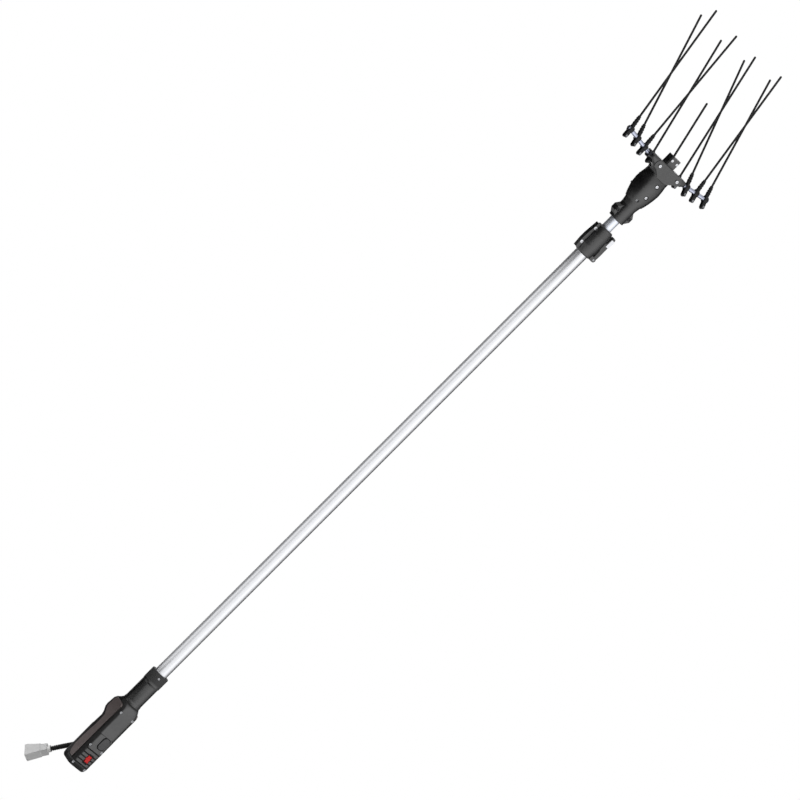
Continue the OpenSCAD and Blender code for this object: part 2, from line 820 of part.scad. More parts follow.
// A bent steel clip over the lever's outer end, between three points of its outline
clip_t = 0.9;
clip_in_share = 0.4;
clip_rows = [4, 5, 6];
module clip_profile(out, past) {
    h = lever_len - lever_pin_up;
    inner = lever_in + clip_in_share * lever_t;
    edge = [for (k = clip_rows) [lever_in + lever_shares[k][0] * lever_t + out, lever_shares[k][1] * h]];
    polygon(concat(
        [[inner - past, edge[0][1] - past], [edge[0][0], edge[0][1] - past]],
        edge,
        [[edge[2][0], edge[2][1] + past], [inner - past, edge[2][1] + past]]));
}
module lever_slab(w) {
    translate([0, 0, collar_z + lever_pin_up]) rotate([90, 0, 0]) linear_extrude(w, center = true) children();
}
module lock_lever() {
    color("#3c3c40") difference() {
        union() {
            lever_slab(lever_w) lever_outline();
            at_lever_pin() rod_y(lug_r - free_gap, lever_w, center = true);
        }
        at_lever_pin() rod_y(lever_pin_d / 2 + run_gap, 2 * room, center = true);
    }
}
module lever_plate() {
    color("#d9dade") difference() {
        lever_slab(lever_w + 2 * clip_t) clip_profile(clip_t, 0);
        lever_slab(lever_w + 2 * seat_gap) clip_profile(seat_gap, over);
    }
}
module lever_pin() {
    color("#c9c9cc") at_lever_pin()
        rod_y(lever_pin_d / 2, lever_w + 2 * lever_side + 2 * lug_t, center = true);
}

// Clamp neck of the head: two halves with bolted ears

clamp_slit = 0.4;
clamp_ear_reach = 26;
clamp_ear_root = 17;
clamp_ear_foot = 32;
clamp_ear_tip = 11;
clamp_ear_t = 10;
clamp_ear_up = 20;
clamp_flare = 2.5;
clamp_edge = 1;
clamp_waist_share = 0.75;
clamp_bolt_d = 5;
clamp_bolt_x = 20.5;
clamp_head = 8.5;
clamp_head_h = 4;
clamp_head_in = 2;
module at_clamp_bolts() {
    for (side = [-1, 1])
        translate([side * clamp_bolt_x, -clamp_ear_t + clamp_head_in, clamp_z + clamp_ear_up]) children();
}
module clamp_ears() {
    x = clamp_ear_reach;
    root = clamp_ear_root;
    foot = clamp_ear_foot / 2;
    tip = clamp_ear_tip / 2;
    translate([0, 0, clamp_z + clamp_ear_up]) rotate([90, 0, 0])
        linear_extrude(2 * clamp_ear_t, center = true) polygon([
            [-x, -tip], [-root, -foot], [root, -foot], [x, -tip],
            [x, tip], [root, foot], [-root, foot], [-x, tip]]);
}
module clamp_form() {
    r = clamp_d / 2;
    difference() {
        union() {
            rotate_extrude() polygon([
                [inner_d / 2 + seat_gap, clamp_z], [r - clamp_edge, clamp_z], [r, clamp_z + clamp_edge],
                [r, clamp_z + clamp_waist_share * clamp_len], [r + clamp_flare, case_z],
                [inner_d / 2 + seat_gap, case_z]]);
            clamp_ears();
        }
        translate([0, 0, clamp_z - over]) cylinder(d = inner_d + 2 * seat_gap, h = clamp_len + 2 * over);
        at_clamp_bolts() screw_cut(clamp_bolt_d, 2 * clamp_ear_t, clamp_head);
    }
}
module neck_front() {
    color("#2a2a2c") intersection() {
        clamp_form();
        in_front(-clamp_slit / 2);
    }
}
module neck_rear() {
    color("#242426") intersection() {
        clamp_form();
        behind(clamp_slit / 2);
    }
}
module neck_bolts() {
    color("#3a3a3c") at_clamp_bolts()
        screw(clamp_bolt_d, 2 * clamp_ear_t - clamp_head_in, clamp_head, clamp_head_h);
}

// Gear case

// Sections: height, width, depth, place behind the pole axis, spread towards the arms, squareness
case_shares = [
    [0, 0.76, 0.7, 0.15, 0, 2],
    [0.07, 0.83, 0.79, 0.4, 0, 2.1],
    [0.18, 0.91, 0.895, 0.75, 0, 2.2],
    [0.29, 0.96, 0.96, 0.95, 0, 2.3],
    [0.41, 1, 1, 1, 0, 2.3],
    [0.53, 0.96, 0.955, 1, 0, 2.4],
    [0.64, 0.9, 0.88, 1, 0, 2.5],
    [0.72, 0.9, 0.8, 0.95, 0.02, 2.6],
    [0.77, 1, 0.75, 0.8, 0.08, 2.8],
    [0.815, 1, 0.72, 0.72, 0.36, 3.5],
    [0.85, 1, 0.7, 0.68, 0.66, 4.5],
    [0.885, 1, 0.69, 0.66, 0.88, 5.5],
    [0.92, 1, 0.68, 0.66, 0.98, 6],
    [0.97, 1, 0.67, 0.66, 1, 6],
    [1, 1, 0.62, 0.66, 0.93, 6]];
case_sides = 44;

module case_form() {
    loft([for (s = case_shares)
        let (
            w = s[1] * case_w / 2 + s[4] * (arm_reach - case_w / 2),
            d = s[2] * case_d / 2,
            y = s[3] * drive_y)
        ring(case_z + s[0] * case_len, w, d - y, d + y, s[5], case_sides)]);
}

// The case with a round boss along each arm
module case_solid() {
    case_form();
    for (side = [-1, 1]) on_shaft(side) mirror([side < 0 ? 1 : 0, 0, 0])
        translate([inner_bush_at, 0, 0]) rod_x(boss_arm_r, arm_reach - inner_bush_at);
}

// The swept frame of one half-shaft: X along the shaft, Z square to it, origin where the shafts meet
module on_shaft(side) {
    translate([0, drive_y, apex_z]) rotate([0, -side * sweep, 0]) children();
}

notch_gap = 1;
notch_front = 18.5;
arm_rear = 11;
bush_wall = 2;
boss_wall = 2.5;
boss_arm_r = shaft_d / 2 + bush_wall + boss_wall;
inner_bush_at = 27;
inner_bush_len = 14;
outer_bush_len = 5;
outer_bush_at = holder_first + holder_w / 2 + notch_gap + free_gap;

// Room round each inner holder, open to the rear
module holder_notches() {
    for (side = [-1, 1]) on_shaft(side)
        translate([side * holder_first - holder_w / 2 - notch_gap, -notch_front, -room / 2])
            cube([holder_w + 2 * notch_gap, room, room]);
}
module shaft_bores() {
    for (side = [-1, 1]) on_shaft(side)
        rod_x(shaft_d / 2 + bush_wall + seat_gap, 2 * (arm_reach + room), center = true);
}

// Drive room: the yoke's box, and below it the crank, the gearbox and a motor that fills the rest
yoke_pin_r = 2.5;
pin_run_share = 0.35;
pin_run = pin_run_share * holder_first;
pin_z = apex_z + pin_run * sin(sweep) - arm_r * cos(sweep);
pin_x = pin_run * cos(sweep) + arm_r * sin(sweep);
yoke_t = 6;
yoke_z = pin_z - yoke_t / 2;
boss_h = 3.5;
crank_disc_t = 3;
crank_pin_h = 3.1;
crank_gap = 0.4;
case_floor = 7;
drive_gap = 0.2;
gearbox_top = yoke_z - 2 * crank_gap - crank_pin_h - crank_disc_t - boss_h;
gearbox_z = gearbox_top - gearbox_len;
motor_z = case_z + case_floor;
motor_len = gearbox_z - motor_z - seat_gap;
crank_room_r = 13;
yoke_room_x = 25;
yoke_room_y = 14.5;
yoke_room_low = 22;
yoke_room_high = 11;
module drive_room() {
    translate([0, drive_y, 0]) {
        translate([0, 0, motor_z - drive_gap])
            cylinder(d = motor_d + 2 * drive_gap, h = motor_len + 2 * drive_gap);
        translate([0, 0, gearbox_z]) cylinder(d = gearbox_d + 2 * drive_gap, h = gearbox_len + drive_gap);
        translate([0, 0, gearbox_top]) cylinder(r = crank_room_r, h = apex_z - gearbox_top);
        translate([-yoke_room_x, -yoke_room_y, apex_z - yoke_room_low])
            cube([2 * yoke_room_x, 2 * yoke_room_y, yoke_room_low + yoke_room_high]);
    }
    translate([0, 0, case_z - clamp_len])
        cylinder(d = lead_d + 2 * seat_gap, h = motor_z - case_z + clamp_len);
    at_guides() rod_y(guide_r + seat_gap, guide_len + 2 * seat_gap, center = true);
}

// The case's spigot fills the clamp neck above the tube
spigot_gap = 0.5;
module spigot() {
    translate([0, 0, slider_top + spigot_gap])
        cylinder(d = inner_d, h = case_z - slider_top - spigot_gap + over);
}

// Crossbar cover, let into the front of the case
cross_r = 11;
cross_x = 33;
cross_up = 12;
cross_foot_w = 26;
cross_foot_down = 36;
cross_t = 4;
cross_face = 20.5;
module cross_outline(grow) {
    high = over / 2 - cross_r - grow;
    low = cross_up - cross_foot_down - grow;
    translate([0, case_top - cross_up]) {
        for (side = [-1, 1]) translate([side * cross_x, 0]) circle(r = cross_r + grow);
        translate([-cross_x, -cross_r - grow]) square([2 * cross_x, 2 * (cross_r + grow)]);
        polygon([
            [-cross_x, high], [-cross_foot_w / 2 - grow, low],
            [cross_foot_w / 2 + grow, low], [cross_x, high]]);
    }
}
module cross_slab(grow, t) {
    translate([0, -cross_face + cross_t + grow, 0]) rotate([90, 0, 0]) linear_extrude(t) cross_outline(grow);
}

// Screws of the head: place sideways, height as a share of the case, and depth of the head's seat
cover_screw_x = 31;
cover_screw_up_share = 0.89;
cover_screw_len = 11;
front_screws_share = [[0, 0.235, 0.855], [0, 0.545, 0.87], [-0.28, 0.08, 0.68]];
rear_screws_share = [[-0.72, 0.26, 0.48], [0.72, 0.26, 0.48], [-0.72, 0.5, 0.5], [0.72, 0.5, 0.5]];
head_screw_d = 3.5;
head_screw_head = 7;
head_screw_head_h = 2.4;
front_screw_len = 7.5;
rear_screw_len = 30;
module at_cover_screws() {
    for (side = [-1, 1])
        translate([side * cover_screw_x, -cross_face, case_z + cover_screw_up_share * case_len]) children();
}
module at_front_screws() {
    for (s = front_screws_share)
        translate([s[0] * case_w / 2, drive_y - s[2] * case_d / 2, case_z + s[1] * case_len]) children();
}
module at_rear_screws() {
    for (s = rear_screws_share)
        translate([s[0] * case_w / 2, drive_y + s[2] * case_d / 2, case_z + s[1] * case_len])
            rotate([0, 0, 180]) children();
}
module head_screw_cuts() {
    at_front_screws() screw_cut(head_screw_d, front_screw_len, head_screw_head);
    at_rear_screws() screw_cut(head_screw_d, rear_screw_len, head_screw_head);
    at_cover_screws() screw_cut(head_screw_d, cover_screw_len, head_screw_head);
}

// What lies behind the split between the case halves
module rear_block() {
    translate([-holder_first, drive_y, case_z - over]) cube([2 * holder_first, room, case_len + 2 * over]);
}

module case_front() {
    color("#2e2e30") difference() {
        union() {
            difference() {
                case_solid();
                rear_block();
                behind(drive_y + arm_rear);
            }
            intersection() {
                spigot();
                in_front(drive_y);
            }
        }
        holder_notches();
        shaft_bores();
        drive_room();
        cross_slab(seat_gap, room);
        head_screw_cuts();
    }
}

module case_rear() {
    color("#262628") difference() {
        union() {
            intersection() {
                case_solid();
                rear_block();
            }
            intersection() {
                spigot();
                behind(drive_y);
            }
        }
        holder_notches();
        shaft_bores();
        drive_room();
        head_screw_cuts();
    }
}

module cross_cover() {
    color("#38383a") difference() {
        cross_slab(0, cross_t);
        at_cover_screws() shank_cut(head_screw_d, cover_screw_len);
    }
}

module case_screws() {
    color("#d2d3d6") {
        at_front_screws() screw(head_screw_d, front_screw_len, head_screw_head, head_screw_head_h);
        at_rear_screws() screw(head_screw_d, rear_screw_len, head_screw_head, head_screw_head_h);
        at_cover_screws() screw(head_screw_d, cover_screw_len, head_screw_head, head_screw_head_h);
        at_nose_screws() screw(nose_screw_d, nose_screw_len, nose_screw_head, nose_screw_head_h);
    }
}

// Motor, gearbox and crank, on one axis

motor_edge = 2;
motor_cap = 6;
motor_groove = 0.8;
boss_r = 7;
crank_r = 4;
crank_deep = 12;
crank_disc_r = 11;
crank_pin_r = 3;
crank_throw = arm_r * tan(rock);
module motor() {
    r = motor_d / 2;
    color("#8c8e92") translate([0, drive_y, motor_z]) rotate_extrude() polygon([
        [0, 0], [r - motor_edge, 0], [r, motor_edge], [r, motor_cap], [r - motor_groove, motor_cap],
        [r - motor_groove, motor_cap + motor_groove], [r, motor_cap + motor_groove], [r, motor_len],
        [0, motor_len]]);
}
module gearbox() {
    r = gearbox_d / 2;
    color("#a2a4a8") translate([0, drive_y, gearbox_z]) rotate_extrude() polygon([
        [0, 0], [r, 0], [r, gearbox_len - motor_edge], [r - motor_edge, gearbox_len], [boss_r, gearbox_len],
        [boss_r, gearbox_len + boss_h], [crank_r + run_gap, gearbox_len + boss_h],
        [crank_r + run_gap, gearbox_len + boss_h - crank_deep], [0, gearbox_len + boss_h - crank_deep]]);
}
module crank() {
    disc_z = gearbox_top + boss_h + crank_gap;
    color("#b4b6ba") translate([0, drive_y, 0]) {
        translate([0, 0, disc_z - crank_deep]) cylinder(r = crank_r, h = crank_deep + over);
        translate([0, 0, disc_z]) cylinder(r = crank_disc_r, h = crank_disc_t);
        translate([crank_throw, 0, disc_z]) cylinder(r = crank_pin_r, h = crank_disc_t + crank_pin_h);
    }
}

// Yoke: a slotted block on two guide rods, with a drive pin each side for the shafts' forks

yoke_side = 5;
yoke_x = pin_x - yoke_side;
yoke_half_y = 7.2;
guide_r = 2;
guide_x = 5.5;
guide_in = 4;
guide_rise = 4.5;
guide_len = 2 * (yoke_room_y + guide_in);
guide_z = yoke_z + yoke_t + guide_rise;
bridge_wall = 2;
bridge_x = guide_x + guide_r + bridge_wall;
bridge_half_y = 5;
slot_gap = 0.4;
fork_gap = 0.5;
fork_t = 6;
module at_guides() {
    for (side = [-1, 1]) translate([side * guide_x, drive_y, guide_z]) children();
}
module yoke() {
    color("#9a9ca0") difference() {
        union() {
            translate([-yoke_x, drive_y - yoke_half_y, yoke_z]) cube([2 * yoke_x, 2 * yoke_half_y, yoke_t]);
            translate([-bridge_x, drive_y - bridge_half_y, yoke_z + yoke_t - over])
                cube([2 * bridge_x, 2 * bridge_half_y, guide_rise + guide_r + bridge_wall + over]);
            translate([0, drive_y, pin_z])
                rod_x(yoke_pin_r, 2 * pin_x + fork_t + over, center = true);
        }
        translate([-crank_throw - crank_pin_r - slot_gap, drive_y - crank_pin_r - slot_gap, yoke_z - over])
            cube([2 * (crank_throw + crank_pin_r + slot_gap), 2 * (crank_pin_r + slot_gap), yoke_t - over]);
        at_guides() rod_y(guide_r + run_gap, 4 * yoke_half_y, center = true);
    }
}
module yoke_guides() {
    color("#c4c6ca") at_guides() rod_y(guide_r, guide_len, center = true);
}

// Half-shafts with a forked arm near the inner end

shaft_in = pin_run - fork_t;
shaft_end = 8;
shaft_out = holder_first + 3 * holder_pitch + shaft_end;
hub_r = 8;
fork_wall = 2.6;
fork_half = yoke_pin_r + fork_gap + fork_wall;
fork_end = 4.5;
fork_slack = 1.6;
module half_shaft(side) {
    on_shaft(side) {
        translate([side > 0 ? shaft_in : -shaft_out, 0, 0]) rod_x(shaft_d / 2, shaft_out - shaft_in);
        translate([side * pin_run - fork_t / 2, 0, 0]) difference() {
            union() {
                rod_x(hub_r, fork_t);
                translate([0, -fork_half, -arm_r - fork_end]) cube([fork_t, 2 * fork_half, arm_r + fork_end]);
            }
            translate([-over, -yoke_pin_r - fork_gap, -arm_r - fork_end - over]) cube([
                fork_t + 2 * over,
                2 * (yoke_pin_r + fork_gap),
                fork_end + yoke_pin_r + 2 * fork_gap + over + fork_slack]);
        }
    }
}
module left_shaft() {
    color("#b9bec8") half_shaft(-1);
}
module right_shaft() {
    color("#b9bec8") half_shaft(1);
}

module shaft_bushes() {
    color("#3a3a3c") for (side = [-1, 1]) on_shaft(side) mirror([side < 0 ? 1 : 0, 0, 0])
        for (b = [[inner_bush_at, inner_bush_len], [outer_bush_at, outer_bush_len]])
            translate([b[0], 0, 0]) rotate([0, 90, 0])
                tube(shaft_d / 2 + bush_wall, shaft_d / 2 + run_gap, b[1]);
}

// Nose block on top of the case, with the middle tine

nose_y = 4.5;
nose_edge = 3;
nose_rise_share = 0.35;
nose_screw_d = 3;
nose_screw_head = 6;
nose_screw_head_h = 2;
nose_screw_len = 8;
nose_screw_x = 8;
nose_screw_up_share = 0.6;
module at_nose_screws() {
    for (side = [-1, 1])
        translate([
            side * nose_screw_x,
            nose_y - nose_d / 2 + nose_screw_head_h / 2,
            case_top + nose_screw_up_share * nose_h])
            children();
}
module at_middle_tine() {
    translate([0, drive_y, case_top + nose_rise_share * nose_h]) rotate([-lean, 0, 0]) children();
}
middle_in = (1 - nose_rise_share) * nose_h / cos(lean);
module nose_block() {
    w = nose_w / 2;
    d = nose_d / 2;
    color("#303032") difference() {
        translate([0, nose_y, case_top]) linear_extrude(nose_h) polygon([
            [nose_edge - w, -d], [w - nose_edge, -d], [w, nose_edge - d], [w, d - nose_edge],
            [w - nose_edge, d], [nose_edge - w, d], [-w, d - nose_edge], [-w, nose_edge - d]]);
        at_middle_tine() cylinder(d = tine_d + 2 * seat_gap, h = middle_in + nose_h);
        at_nose_screws() screw_cut(nose_screw_d, nose_screw_len, nose_screw_head);
    }
}

// Tine holders and tines: 1 to 4 are on the left shaft and 6 to 9 on the right, from left to right

function tine_side(i) = i < 5 ? -1 : 1;
function tine_place(i) = i < 5 ? 4 - i : i - 6;
function tine_lean(i) = lean + (i == 2 || i == 4 || i == 7 || i == 9 ? lean_swing : -lean_swing);
// Splay from square to the shaft: the outer pair stands upright, the inner pair draws in
splay_share = 0.36;
function tine_splay(i) = tine_place(i) > 1 ? sweep : splay_share * sweep;
function tine_sleeve(i) = tine_place(i) == 0 ? sleeve_short : sleeve_len;
function tine_lug(i) = (tine_place(i) == 0 ? lug_short : lug_len) - lug_end_r;

module at_holder(i) {
    side = tine_side(i);
    on_shaft(side) translate([side * (holder_first + tine_place(i) * holder_pitch), 0, 0])
        rotate([-tine_lean(i), 0, 0]) children();
}
module at_tine(i) {
    at_holder(i) rotate([0, tine_side(i) * tine_splay(i), 0]) children();
}

sleeve_root_r = 5.4;
sleeve_tip_r = 3.7;
lug_end_r = 4.5;
lug_half = 4.5;
lug_slot = 1.2;
lug_screw_d = 3.5;
lug_head = 6;
lug_head_h = 2.2;
seat_wall = 2;
tine_seat = shaft_d / 2 + seat_wall;
// A sleeve that tapers in steps: a ring rib stands on it at each share of its reach
rib_shares = [0.5, 0.68, 0.86];
rib_stand = 0.7;
rib_t = 2.4;
function taper(share) = sleeve_root_r + share * (sleeve_tip_r - sleeve_root_r);
module ribbed_sleeve(reach) {
    rotate_extrude() polygon(concat(
        [[0, 0], [sleeve_root_r, 0]],
        [for (k = rib_shares) each [
            [taper(k), k * reach - rib_t], [taper(k) + rib_stand, k * reach - rib_t],
            [taper(k) + rib_stand, k * reach], [taper(k), k * reach]]],
        [[sleeve_tip_r, reach], [0, reach]]));
}

module tine_holder(i) {
    reach = tine_sleeve(i);
    lug_at = tine_lug(i);
    color("#1f1f21") difference() {
        union() {
            at_holder(i) rod_x(holder_d / 2, holder_w, center = true);
            at_tine(i)
                if (tine_place(i) == 0) cylinder(r1 = holder_w / 2, r2 = sleeve_tip_r, h = reach);
                else ribbed_sleeve(reach);
            at_holder(i) {
                translate([-holder_w / 2, -lug_half, -lug_at]) cube([holder_w, 2 * lug_half, lug_at]);
                translate([0, 0, -lug_at]) rod_y(lug_end_r, 2 * lug_half, center = true);
            }
        }
        at_holder(i) {
            rod_x(shaft_d / 2 + seat_gap, 2 * holder_w + room, center = true);
            translate([-room / 2, -lug_slot / 2, -room]) cube([room, lug_slot, room]);
            translate([0, -lug_half, -lug_at]) shank_cut(lug_screw_d, 3 * lug_half);
        }
        at_tine(i) translate([0, 0, tine_seat]) cylinder(d = tine_d + 2 * seat_gap, h = reach);
    }
}
module holder_screws(side) {
    color("#77787c") for (i = LONG_TINES) if (tine_side(i) == side)
        at_holder(i) translate([0, -lug_half, -tine_lug(i)])
            screw(lug_screw_d, 2 * lug_half, lug_head, lug_head_h);
}

module tine_rod(length) {
    cylinder(d = tine_d, h = length - tine_d / 2);
    translate([0, 0, length - tine_d / 2]) sphere(d = tine_d);
}
module tine(i) {
    color("#19191b") {
        if (i == 5) at_middle_tine() tine_rod(middle_in + middle_len);
        else at_tine(i) translate([0, 0, tine_seat]) tine_rod(tine_len - tine_seat);
    }
}

handle_front();
handle_rear();
side_cover(-1);  // left_side_cover
side_cover(1);  // right_side_cover
handle_screws();
neck_sleeve();
rocker_switch();
push_button();
control_board();
cable_gland();
cord();
cord_ferrule();
plug_body();
plug_contacts();
outer_tube();
inner_tube();
slide_bush();
coil_cable();
motor_lead();
collar_body();
collar_screws();
lock_lever();
lever_plate();
lever_pin();
brake_pad();
neck_front();
neck_rear();
neck_bolts();
case_front();
case_rear();
cross_cover();
case_screws();
motor();
gearbox();
crank();
yoke();
yoke_guides();
shaft_bushes();
nose_block();
left_shaft();
right_shaft();
holder_screws(-1);  // left_holder_screws
holder_screws(1);  // right_holder_screws
for (i = LONG_TINES) tine_holder(i);
for (i = TINES) tine(i);
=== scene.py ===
import math

import bmesh
import bpy
from mathutils import Matrix, Vector


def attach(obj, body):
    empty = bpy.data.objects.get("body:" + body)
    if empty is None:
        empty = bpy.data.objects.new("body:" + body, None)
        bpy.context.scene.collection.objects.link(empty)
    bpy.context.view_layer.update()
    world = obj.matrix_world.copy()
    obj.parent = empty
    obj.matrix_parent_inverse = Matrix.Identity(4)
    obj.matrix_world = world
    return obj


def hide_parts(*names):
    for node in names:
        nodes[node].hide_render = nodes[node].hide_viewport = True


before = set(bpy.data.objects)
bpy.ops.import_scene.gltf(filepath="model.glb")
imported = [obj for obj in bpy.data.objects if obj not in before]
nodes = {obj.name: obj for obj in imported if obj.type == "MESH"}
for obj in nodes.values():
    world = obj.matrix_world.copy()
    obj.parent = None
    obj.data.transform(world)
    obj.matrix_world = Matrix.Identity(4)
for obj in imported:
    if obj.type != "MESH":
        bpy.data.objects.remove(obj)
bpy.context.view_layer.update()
mm = 0.001
print("frame: loaded", len(nodes), "nodes")


# shared helpers


def addObject(name, data):
    obj = bpy.data.objects.new(name, data)
    bpy.context.scene.collection.objects.link(obj)
    return obj


def addNode(tree, kind, inputs, **traits):
    node = tree.nodes.new(kind)
    for trait, value in traits.items():
        setattr(node, trait, value)
    for key, value in inputs.items():   # a value to set, or a socket to link from
        if isinstance(value, bpy.types.NodeSocket):
            tree.links.new(value, node.inputs[key])
        else:
            node.inputs[key].default_value = value
    return node


def calc(tree, operation, *values):
    inputs = dict(enumerate(values))
    return addNode(tree, "ShaderNodeMath", inputs, operation=operation).outputs[0]


def product(tree, factors):
    total = factors[0]
    for factor in factors[1:]:
        total = calc(tree, "MULTIPLY", total, factor)
    return total


def fade(tree, value, start, end):
    # rises smoothly from 0 at start to 1 at end
    inputs = {"Value": value, "From Min": start, "From Max": end}
    node = addNode(tree, "ShaderNodeMapRange", inputs, interpolation_type="SMOOTHSTEP")
    return node.outputs["Result"]


def grey(level):
    return (level, level, level, 1.0)


# camera

cameraSettings = {
    "azimuth": -35.0,        # degrees, 0 looks along +Y
    "elevation": 5.2,
    "roll": 45.0,            # the pole climbs from lower left to upper right
    "pictureWidth": 1.768,   # metres across the picture, at the pole
    "distance": 14.0,
    "clipEnd": 56.0,
    "aimUp": 0.8555,         # up the pole from the grip
    "aimAside": -0.054,      # across the pole
    "sensor": 36.0,
}


def makeCamera(s):
    az = math.radians(s["azimuth"])
    el = math.radians(s["elevation"])
    roll = math.radians(s["roll"])
    forward = Vector((-math.sin(az) * math.cos(el), math.cos(az) * math.cos(el), -math.sin(el)))
    right = Vector((math.cos(az), math.sin(az), 0.0))
    up = right.cross(forward)
    aim = Vector((0.0, 0.0, s["aimUp"])) + s["aimAside"] * right
    rolledRight = math.cos(roll) * right + math.sin(roll) * up
    rolledUp = math.cos(roll) * up - math.sin(roll) * right
    data = bpy.data.cameras.new("photoCamera")
    data.sensor_width = s["sensor"]
    data.lens = s["sensor"] * s["distance"] / s["pictureWidth"]
    data.clip_end = s["clipEnd"]
    cam = addObject("photoCamera", data)
    turn = Matrix((rolledRight, rolledUp, -forward)).transposed()
    cam.matrix_world = Matrix.Translation(aim - s["distance"] * forward) @ turn.to_4x4()
    bpy.context.scene.camera = cam


# lamps, and cards that the object reflects

lightSettings = {
    # name: azimuth round the pole, height, distance, width, tall side, watts,
    # height aimed at, spread in degrees
    "keyRight": (20.0, 0.75, 3.2, 3.0, 3.6, 38.0, 0.9, 180.0),
    "keyLeft": (-30.0, 0.75, 3.2, 3.0, 3.6, 25.0, 0.9, 180.0),
    "fillLeft": (-98.0, 0.8, 5.0, 3.0, 3.4, 26.0, 0.9, 180.0),
    "softBehind": (150.0, 1.2, 5.0, 3.0, 3.8, 40.0, 0.9, 180.0),
    "plugFill": (-124.0, -0.06, 0.8, 0.3, 0.2, 0.16, -0.28, 50.0),
}
cardSettings = {
    # a pale card on the left and dark ones elsewhere, none of them seen by the camera
    # name: azimuth round the pole, height, distance, width, tall side, grey level
    "cardLeft": (-150.0, 0.85, 1.5, 1.8, 4.0, 0.8),
    "cardRight": (100.0, 0.85, 1.5, 1.3, 4.0, 0.05),
    "cardHead": (-88.0, 1.5375, 0.45, 1.07, 0.465, 0.02),
    "cardHeadBack": (-165.0, 1.55, 0.45, 0.5, 0.44, 0.02),
    "cardNeck": (-105.0, -0.0175, 0.2, 0.4, 0.095, 0.02),
    "cardHandle": (-48.0, -0.15, 0.2, 0.22, 0.17, 0.02),
    "cardHandleBack": (-146.0, -0.075, 0.25, 0.25, 0.21, 0.03),
}
footCardSettings = {
    # a dark card that lies below the handle and plug, and casts no shadow
    "centre": (0.0, 0.05, -0.37),
    "side": 0.5,
    "grey": 0.02,
}
cardRoughness = 1.0


def facing(place, aimHeight):
    return (Vector((0.0, 0.0, aimHeight)) - place).to_track_quat("-Z", "Y").to_euler()


def around(azimuth, distance, height):
    az = math.radians(azimuth)
    return Vector((math.sin(az) * distance, -math.cos(az) * distance, height))


def makeLights(table):
    for name, row in table.items():
        azimuth, height, distance, width, tall, watts, aimHeight, spread = row
        data = bpy.data.lights.new(name, "AREA")
        data.shape = "RECTANGLE"
        data.size = width
        data.size_y = tall
        data.energy = watts
        data.spread = math.radians(spread)
        lamp = addObject(name, data)
        lamp.location = around(azimuth, distance, height)
        lamp.rotation_euler = facing(lamp.location, aimHeight)


def plainFinish(name, level, roughness):
    mat = bpy.data.materials.new(name)
    mat.use_nodes = True
    shader = mat.node_tree.nodes["Principled BSDF"]
    shader.inputs["Base Color"].default_value = grey(level)
    shader.inputs["Roughness"].default_value = roughness
    return mat


def makeCard(name, width, tall, level):
    w, t = width / 2, tall / 2
    mesh = bpy.data.meshes.new(name)
    corners = [(-w, -t, 0), (w, -t, 0), (w, t, 0), (-w, t, 0)]
    mesh.from_pydata(corners, [], [(0, 1, 2, 3)])
    mesh.materials.append(plainFinish(name, level, cardRoughness))
    card = addObject(name, mesh)
    card.visible_camera = False
    return card


def makeCards(table):
    for name, (azimuth, height, distance, width, tall, level) in table.items():
        card = makeCard(name, width, tall, level)
        card.location = around(azimuth, distance, height)
        card.rotation_euler = facing(card.location, height)


def makeFootCard(s):
    card = makeCard("cardFoot", s["side"], s["side"], s["grey"])
    card.location = s["centre"]
    card.visible_shadow = False


# white world and pale floor

roomSettings = {"ambient": 0.3, "backdrop": 1.0}
floorSettings = {
    "height": -0.72,   # below the plug, as the tool is held up
    "radius": 1.5,
    "fadeFrom": 0.6,
    "pale": 0.92,
    "paler": 0.7,      # how much of the white world shows through, besides the shadow
    "roughness": 0.9,
    "sides": 64,
}


def backgroundRays(tree):
    path = tree.nodes.new("ShaderNodeLightPath").outputs
    seen = calc(tree, "MAXIMUM", path["Is Camera Ray"], path["Is Glossy Ray"])
    return calc(tree, "MAXIMUM", seen, path["Is Transmission Ray"])


def makeRoom(s):
    world = bpy.data.worlds.new("whiteStudio")
    bpy.context.scene.world = world
    world.use_nodes = True
    tree = world.node_tree
    tree.nodes.clear()
    lit, shown = [
        addNode(tree, "ShaderNodeBackground", {"Color": grey(1.0), "Strength": s[part]})
        for part in ("ambient", "backdrop")
    ]
    sides = {0: backgroundRays(tree), 1: lit.outputs[0], 2: shown.outputs[0]}
    mix = addNode(tree, "ShaderNodeMixShader", sides)
    addNode(tree, "ShaderNodeOutputWorld", {"Surface": mix.outputs[0]})


def floorFinish(s):
    mat = plainFinish("paleFloor", s["pale"], s["roughness"])
    tree = mat.node_tree
    coords = tree.nodes.new("ShaderNodeTexCoord").outputs["Object"]
    away = addNode(tree, "ShaderNodeVectorMath", {0: coords}, operation="LENGTH")
    # the rim fades into the white world
    rim = addNode(tree, "ShaderNodeMapRange", {
        "Value": away.outputs["Value"],
        "From Min": s["fadeFrom"],
        "From Max": s["radius"],
        "To Min": s["paler"],
    }, interpolation_type="SMOOTHSTEP")
    mix = addNode(tree, "ShaderNodeMixShader", {
        0: calc(tree, "MULTIPLY", rim.outputs["Result"], backgroundRays(tree)),
        1: tree.nodes["Principled BSDF"].outputs[0],
        2: tree.nodes.new("ShaderNodeEmission").outputs[0],
    })
    tree.links.new(mix.outputs[0], tree.nodes["Material Output"].inputs["Surface"])
    return mat


def makeFloor(s):
    turns = [2 * math.pi * k / s["sides"] for k in range(s["sides"])]
    rim = [(s["radius"] * math.cos(t), s["radius"] * math.sin(t), 0.0) for t in turns]
    mesh = bpy.data.meshes.new("paleFloor")
    mesh.from_pydata(rim, [], [tuple(range(s["sides"]))])
    mesh.materials.append(floorFinish(s))
    floor = addObject("paleFloor", mesh)
    floor.location.z = s["height"]


